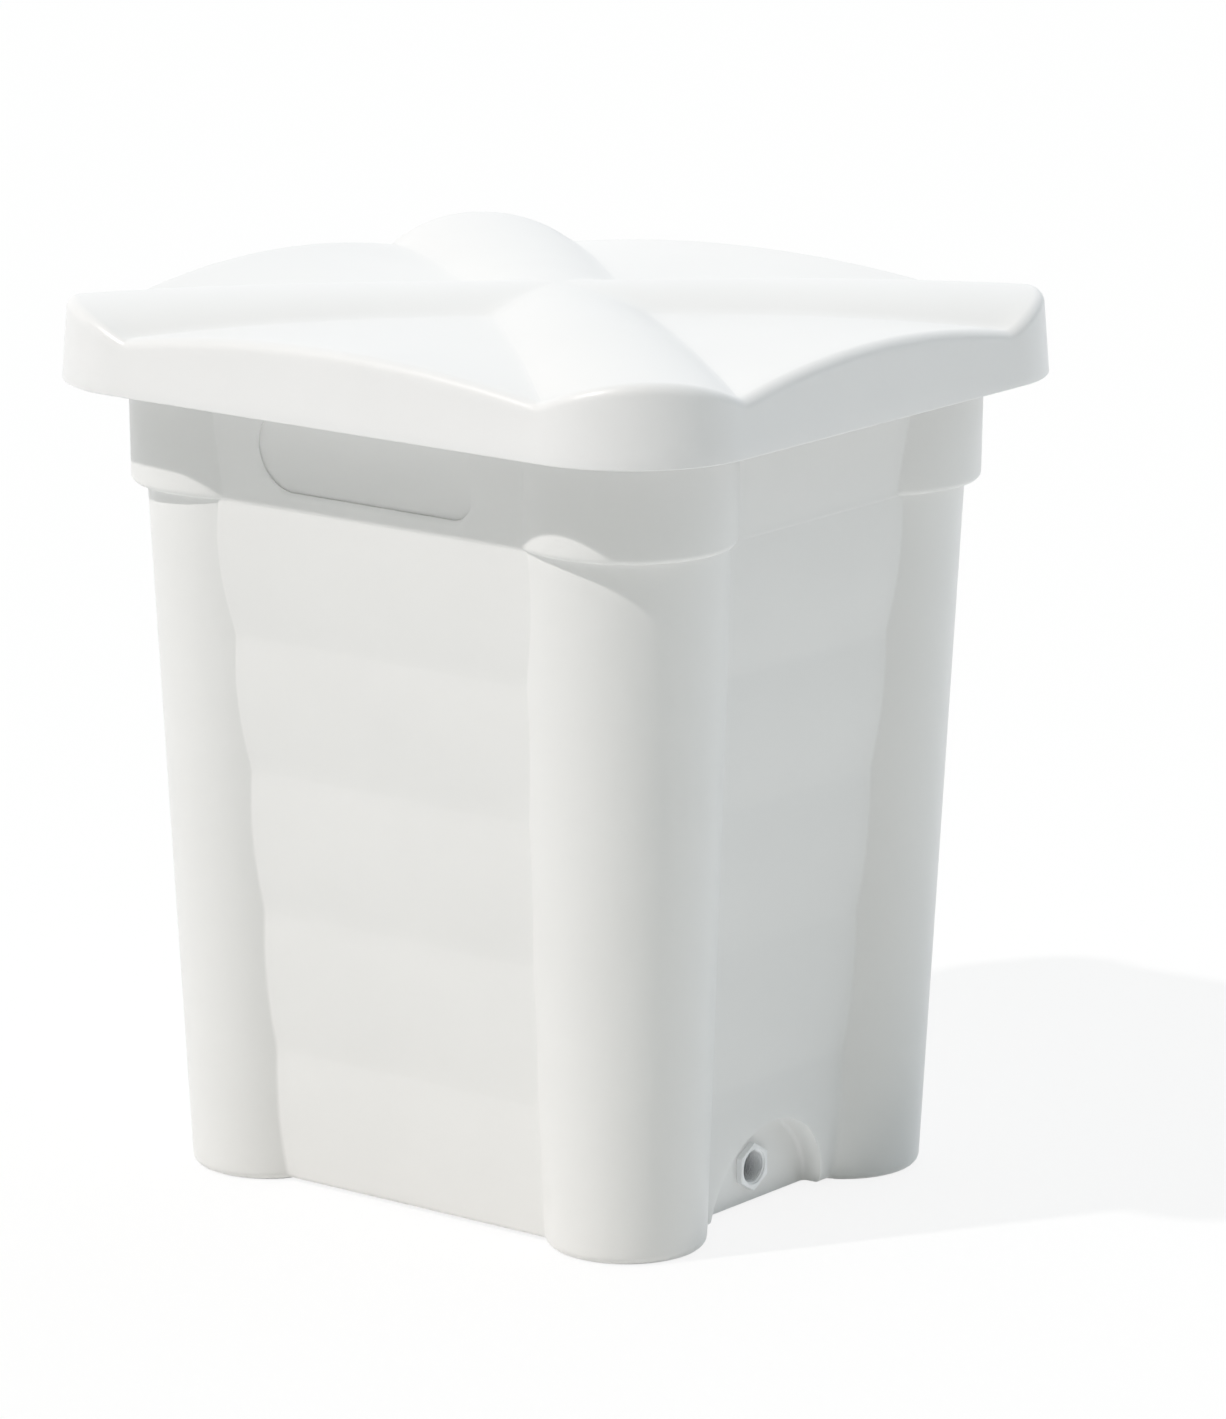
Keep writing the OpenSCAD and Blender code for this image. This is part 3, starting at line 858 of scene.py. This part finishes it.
class LidForm:
    """Rings of the lid, from the middle of its top round its edge to the middle of its underside.

    The surface follows lines from a diamond of parting points out to the arched edge. A station is
    one such line, as the stretch of edge that it ends on and its place along that stretch.
    """

    SIDE_STATIONS = 16
    CORNER_STATIONS = 40
    FRONT_STATIONS = 18
    CROWN_RINGS = 9
    TOP_RINGS = 22
    EDGE_RINGS = 9
    SKIRT_RINGS = 5
    LIP_RINGS = 8

    def __init__(self, lid):
        self.lid = lid
        self.seat_z = TANK_HIGH.z
        self.valley_z = self.seat_z + lid.wall - lid.seat_flat
        self.crown_z = LID_HIGH.z
        self.parting_z = self.crown_z - lid.parting_drop
        self.edge_inset = lid.skirt_flare + lid.edge_round
        self.inner_inset = lid.skirt_flare + lid.wall
        self.stations = self.all_stations()
        self.valleys = [i for i, ((_, place), *_) in enumerate(self.stations) if abs(place) == 1]
        crest = (CORNER, 0)
        start = self.start_point(crest).length / self.edge_point(crest, self.edge_inset).length
        fall = self.crown_z - self.valley_z - lid.corner_arch
        self.ridge_rise = lid.parting_drop - fall * start**lid.edge_fall
        self.start_heights = [vert.z for vert in self.top_ring(0, self.edge_inset)]
        self.edge_heights = [vert.z for vert in self.top_ring(1, self.edge_inset)]

    def all_stations(self):
        """Stations all round, each with the signs of its X and Y."""
        quarter = [(SIDE, math.sin(math.pi / 2 * share)) for share in steps(0, 1, self.SIDE_STATIONS)[:-1]]
        quarter += [(CORNER, share) for share in steps(-1, 1, self.CORNER_STATIONS)[:-1]]
        quarter += [(FRONT, math.sin(math.pi / 2 * share)) for share in steps(1, 0, self.FRONT_STATIONS)]
        return mirrored(quarter)

    def softened(self, ring, width):
        """Ring whose valleys are blended over a width."""
        soft = [vert.copy() for vert in ring]
        for valley in self.valleys:
            low = ring[valley]
            sides = ring[valley - 1], ring[(valley + 1) % len(ring)]
            slope = sum((side.z - low.z) / (side.xy - low.xy).length for side in sides) / 2
            for vert in soft:
                away = (vert.xy - low.xy).length
                vert.z += slope * width * math.log1p(math.exp(-2 * away / width))
        return soft

    def corner_point(self, share, inset):
        """Point on the edge around a corner, from valley to valley."""
        lid = self.lid
        radius = lid.corner_radius
        centre = Vector((LID_HIGH.x - radius, LID_HIGH.y - radius))
        straight = lid.valley_past_corner
        bend = radius * math.pi / 2
        way = share * (2 * straight + bend) - straight
        if way < 0:
            return Vector((LID_HIGH.x - inset, centre.y + way))
        if way > bend:
            return Vector((centre.x - way + bend, LID_HIGH.y - inset))
        return centre + (radius - inset) * Vector((math.cos(way / radius), math.sin(way / radius)))

    def edge_point(self, station, inset):
        kind, place = station
        valley = self.lid.corner_radius + self.lid.valley_past_corner
        if kind == SIDE:
            return Vector((LID_HIGH.x - inset, place * (LID_HIGH.y - valley)))
        if kind == FRONT:
            return Vector((place * (LID_HIGH.x - valley), LID_HIGH.y - inset))
        return self.corner_point((place + 1) / 2, inset)

    def start_point(self, station):
        kind, place = station
        lid = self.lid
        if kind == SIDE:
            return Vector((lid.parting_x, place * lid.parting_tip))
        if kind == FRONT:
            return Vector((place * lid.parting_tip, lid.parting_y))
        tips = Vector((lid.parting_x, lid.parting_tip)), Vector((lid.parting_tip, lid.parting_y))
        return tips[0].lerp(tips[1], (place + 1) / 2)

    def edge_height(self, station):
        kind, place = station
        lid = self.lid
        rise = (lid.side_arch, lid.corner_arch, lid.front_arch)[kind]
        return self.valley_z + rise * (1 - place**2)

    def start_height(self, station):
        kind, place = station
        return self.parting_z + (self.ridge_rise * (1 - place**2) if kind == CORNER else 0)

    def ring(self, points, heights):
        places = zip(self.stations, points, heights)
        return [Vector((x * point.x, y * point.y, z)) for (_, x, y), point, z in places]

    def crown_ring(self, share, drop):
        """Ring on the diamond in the middle, where the ridges cross."""
        points = [self.start_point(station) * share for station, *_ in self.stations]
        return self.ring(points, [lerp(self.crown_z, z, share**2) - drop for z in self.start_heights])

    def top_ring(self, share, inset, drop=0.0, least=0.0):
        """Ring at a share of the way from the parting points to the edge."""
        points = []
        heights = []
        fall = share**self.lid.edge_fall
        for station, *_ in self.stations:
            points.append(self.start_point(station).lerp(self.edge_point(station, inset), share))
            heights.append(lerp(self.start_height(station), self.edge_height(station), fall) - drop)
        width = lerp(self.lid.valley_soft, self.lid.valley_crisp, share)
        ring = self.softened(self.ring(points, heights), width)
        for vert in ring:
            vert.z = max(least, vert.z)
        return ring

    def edge_ring(self, inset, heights):
        return self.ring([self.edge_point(station, inset) for station, *_ in self.stations], heights)

    def rounded_edge(self):
        rings = []
        for turn in steps(0, math.pi / 2, self.EDGE_RINGS)[1:]:
            inset = self.edge_inset - self.lid.edge_round * math.sin(turn)
            drop = self.lid.edge_round * (1 - math.cos(turn))
            rings.append(self.edge_ring(inset, [z - drop for z in self.edge_heights]))
        return rings

    def skirt(self):
        """Down the skirt, round its lip and up inside."""
        lid = self.lid
        lip_z = LID_LOW.z + lid.lip_round
        tops = [z - lid.edge_round for z in self.edge_heights]
        rings = []
        for share in steps(0, 1, self.SKIRT_RINGS)[1:]:
            heights = [lerp(z, lip_z, share) for z in tops]
            rings.append(self.edge_ring(lid.skirt_flare * (1 - share), heights))
        for turn in steps(0, math.pi, self.LIP_RINGS)[1:]:
            middle = lid.lip_round if turn <= math.pi / 2 else lid.wall - lid.lip_round
            inset = middle - lid.lip_round * math.cos(turn)
            z = lip_z - lid.lip_round * math.sin(turn)
            rings.append(self.edge_ring(inset, [z] * len(self.stations)))
        return rings

    def rings(self):
        lid = self.lid
        least = self.seat_z + lid.seat_clear
        crown = [(i + 0.5) / self.CROWN_RINGS for i in range(self.CROWN_RINGS)]
        top = steps(0, 1, self.TOP_RINGS)
        rings = [self.crown_ring(share, 0) for share in crown]
        rings += [self.top_ring(share, self.edge_inset) for share in top]
        rings += self.rounded_edge() + self.skirt()
        rings += [self.top_ring(share, self.inner_inset, lid.wall, least) for share in top[::-1]]
        rings += [self.crown_ring(share, lid.wall) for share in crown[::-1]]
        return rings


class DRAINTANK_OT_lid(Operator):
    """Model the lid: crossing ridges, arched edges and a skirt in one moulding"""

    bl_idname = "draintank.lid"
    bl_label = "Lid"

    def execute(self, context):
        settings = context.scene.drain_tank
        piece = draw_out("lid_moulding", LidForm(settings.lid).rings())
        finish = settings.finish
        depths = finish.lid_wave, finish.grain
        plastic = moulded_plastic("lid_polyethylene", finish.lid, finish.roughness, *depths)
        finish_piece(piece, "lid", "lid", plastic)
        return {"FINISHED"}


# Outlet insert
# Half the foot and half the crest of the thread's ridge, as shares of its pitch, and steps in a turn
THREAD_FOOT = 0.49
THREAD_CREST = 0.1
THREAD_STEPS = 64


def thread_ridge(outlet, start, end):
    """Helical ridge of the thread along X, as one closed strip."""
    pitch, crest = outlet.thread_pitch, BORE_RADIUS
    root = crest + outlet.thread_depth
    bpy.ops.object.select_all(action="DESELECT")
    bpy.ops.mesh.primitive_circle_add(vertices=4, fill_type="NOTHING")
    ridge = bpy.context.object
    half, flat = THREAD_FOOT * pitch, THREAD_CREST * pitch
    section = ((-half, root + flat), (-flat, crest), (flat, crest), (half, root + flat))
    for vert, (along, out) in zip(ridge.data.vertices, section):
        vert.co = (start + half + along, 0, out)
    turns = (end - start - 2 * half) / pitch
    screw = ridge.modifiers.new("Thread", "SCREW")
    screw.axis = "X"
    screw.iterations = math.ceil(turns)
    screw.angle = math.tau * turns / screw.iterations
    screw.screw_offset = pitch * turns / screw.iterations
    screw.steps = THREAD_STEPS
    screw.render_steps = THREAD_STEPS
    bpy.ops.object.modifier_apply(modifier=screw.name)
    bpy.ops.object.mode_set(mode="EDIT")
    bpy.ops.mesh.select_all(action="SELECT")
    bpy.ops.mesh.fill_holes(sides=4)
    bpy.ops.mesh.normals_make_consistent(inside=False)
    bpy.ops.transform.translate(value=(0, 0, OUTLET_Z))
    bpy.ops.object.mode_set(mode="OBJECT")
    return ridge


def insert_body(outlet):
    """Six-sided body with a wider shoulder that the tank's plastic grips."""
    low, high, radius = INSERT_LOW.x, INSERT_HIGH.x, hex_radius(outlet.across_flats)
    body = bar_along_x("outlet_insert_hex", low, high, radius, radius, OUTLET_Z, HEX_SIDES)
    back = high - outlet.proud
    start = (low + back - outlet.shoulder_thick) / 2
    wide = hex_radius(outlet.shoulder_flats)
    end = start + outlet.shoulder_thick
    combine(body, bar_along_x("shoulder", start, end, wide, wide, OUTLET_Z, HEX_SIDES), "UNION")
    round_edges(body, lambda middle: True, outlet.hex_round, segments=3)
    return body


class DRAINTANK_OT_outlet(Operator):
    """Model the outlet's insert: a hexagon with a moulded-in shoulder and a female pipe thread"""

    bl_idname = "draintank.outlet"
    bl_label = "Outlet insert"

    def execute(self, context):
        settings = context.scene.drain_tank
        outlet = settings.outlet
        low, high, chamfer = INSERT_LOW.x, INSERT_HIGH.x, outlet.mouth_chamfer
        past, root = outlet.proud, BORE_RADIUS + outlet.thread_depth
        wide = root + 2 * chamfer
        body = insert_body(outlet)
        bore = bar_along_x("bore", low - past, high + past, root, root, OUTLET_Z, ROUND_SIDES)
        combine(body, bore, "DIFFERENCE")
        mouth = bar_along_x("mouth", high - chamfer, high + chamfer, root, wide, OUTLET_Z, ROUND_SIDES)
        combine(body, mouth, "DIFFERENCE")
        combine(body, thread_ridge(outlet, low, high - chamfer), "UNION")
        finish = settings.finish
        depths = finish.insert_wave, finish.insert_grain
        plastic = moulded_plastic("insert_nylon", finish.insert, finish.insert_roughness, *depths)
        finish_piece(body, "tank", "outlet_insert", plastic)
        return {"FINISHED"}


# Stage
def direction(azimuth, elevation):
    """Way to something at a turn from the front and a height above the horizon."""
    flat = math.cos(elevation)
    return Vector((math.sin(azimuth) * flat, -math.cos(azimuth) * flat, math.sin(elevation)))


def seen_directly(graph):
    """1 for rays that show the background itself, or its mirror image."""
    names = ("Is Camera Ray", "Is Glossy Ray", "Is Transmission Ray")
    camera, glossy, through = (graph.node("ShaderNodeLightPath", {}, {}, name) for name in names)
    return graph.node("ShaderNodeClamp", {}, {"Value": camera + glossy + through})


def pale_floor(stage):
    """Matt floor that keeps the shadow, mostly plain white where it is seen."""
    material = bpy.data.materials.new("pale_floor")
    material.use_nodes = True
    graph = Graph(material.node_tree)
    matt = graph.node("ShaderNodeBsdfDiffuse", {}, {"Color": (*stage.floor_colour, 1)})
    white = graph.node("ShaderNodeEmission", {}, {"Color": (1, 1, 1, 1), "Strength": 1})
    factor = seen_directly(graph) * stage.floor_white
    surface = graph.node("ShaderNodeMixShader", {}, {0: factor, 1: matt, 2: white})
    graph.node("ShaderNodeOutputMaterial", {}, {"Surface": surface})
    return material


def add_floor(stage):
    bpy.ops.object.select_all(action="DESELECT")
    bpy.ops.mesh.primitive_plane_add(size=stage.floor_size, location=(0, 0, CAD_BOX[0].z))
    floor = bpy.context.object
    floor.name = "stage_floor"
    settle(floor)
    floor.data.materials.append(pale_floor(stage))


def light_sky(stage):
    """Soft light from above, behind and the left, and plain white where the sky is seen."""
    world = bpy.data.worlds.new("soft_sky")
    bpy.context.scene.world = world
    world.use_nodes = True
    graph = Graph(world.node_tree)
    way = graph.node("ShaderNodeTexCoord", {}, {}, "Generated")
    x, y, z = (graph.node("ShaderNodeSeparateXYZ", {}, {0: way}, axis) for axis in "XYZ")

    def glow(tint, strength):
        return graph.node("ShaderNodeBackground", {}, {"Color": (*tint, 1), "Strength": strength})

    def one_sided(strength):
        return strength.math("MAXIMUM", strength, 0)

    plain = (1, 1, 1)
    above = glow(stage.above_colour, one_sided(z * stage.sky_above))
    left = glow(plain, one_sided(x * -stage.sky_left))
    behind = glow(stage.behind_colour, one_sided(y * stage.sky_behind))
    sky = graph.node("ShaderNodeAddShader", {}, {0: above, 1: left})
    sky = graph.node("ShaderNodeAddShader", {}, {0: sky, 1: behind})
    inputs = {0: seen_directly(graph), 1: sky, 2: glow(plain, 1)}
    surface = graph.node("ShaderNodeMixShader", {}, inputs)
    graph.node("ShaderNodeOutputWorld", {}, {"Surface": surface})


def add_card(stage):
    """Small card on the floor that throws light up into the outlet's pocket."""
    place = (INSERT_HIGH.x + stage.card_out, 0, CAD_BOX[0].z + stage.card_lift)
    bpy.ops.object.light_add(type="AREA", location=place, rotation=(math.pi, 0, 0))
    card = bpy.context.object
    card.name = "fill_card"
    card.data.shape = "RECTANGLE"
    card.data.size = stage.card_deep
    card.data.size_y = stage.card_wide
    card.data.energy = stage.card_strength
    card.visible_camera = False
    card.visible_glossy = False


def add_sun(stage):
    way = direction(stage.sun_azimuth, stage.sun_elevation)
    bpy.ops.object.light_add(type="SUN", rotation=way.to_track_quat("Z", "Y").to_euler())
    sun = bpy.context.object
    sun.name = "key_sun"
    sun.data.energy = stage.sun_strength
    sun.data.angle = stage.sun_width
    sun.data.color = stage.sun_colour


def add_camera(stage):
    back = direction(stage.view_azimuth, stage.view_elevation)
    level = Vector((math.cos(stage.view_azimuth), math.sin(stage.view_azimuth), 0))
    place = back * stage.view_distance + level * stage.aim_aside + Vector((0, 0, stage.aim_height))
    upward = back.cross(level)
    roll = Matrix.Rotation(stage.view_roll, 3, back)
    right, up = roll @ level, roll @ upward
    turn = Matrix((right, up, back)).transposed()
    bpy.ops.object.camera_add(location=place, rotation=turn.to_euler())
    camera = bpy.context.object
    camera.name = "photo_camera"
    camera.data.sensor_width = stage.sensor
    camera.data.lens = stage.lens
    bpy.context.scene.camera = camera


class DRAINTANK_OT_stage(Operator):
    """Set the pale floor, the sky, the key light, the low card and the camera"""

    bl_idname = "draintank.stage"
    bl_label = "Stage"

    def execute(self, context):
        stage = context.scene.drain_tank.stage
        context.scene.view_settings.view_transform = "Standard"
        add_camera(stage)
        add_floor(stage)
        light_sky(stage)
        add_sun(stage)
        add_card(stage)
        return {"FINISHED"}


class DRAINTANK_PT_panel(Panel):
    """Lists the pieces of the drain tank"""

    bl_label = "Drain Tank"
    bl_idname = "DRAINTANK_PT_panel"
    bl_space_type = "VIEW_3D"
    bl_region_type = "UI"
    bl_category = "Drain Tank"

    def draw(self, context):
        for operator in OPERATORS:
            self.layout.operator(operator.bl_idname)


OPERATORS = (DRAINTANK_OT_stage, DRAINTANK_OT_tank, DRAINTANK_OT_lid, DRAINTANK_OT_outlet)
GROUPS = (TankSettings, PocketSettings, LidSettings, OutletSettings, FinishSettings, StageSettings)
CLASSES = (*GROUPS, DrainTankSettings, *OPERATORS, DRAINTANK_PT_panel)


def register():
    for cls in CLASSES:
        bpy.utils.register_class(cls)
    bpy.types.Scene.drain_tank = PointerProperty(type=DrainTankSettings)


def unregister():
    del bpy.types.Scene.drain_tank
    for cls in reversed(CLASSES):
        bpy.utils.unregister_class(cls)


def main():
    register()
    bpy.ops.draintank.stage()
    bpy.ops.draintank.tank()
    bpy.ops.draintank.lid()
    bpy.ops.draintank.outlet()


if __name__ == "__main__":
    main()
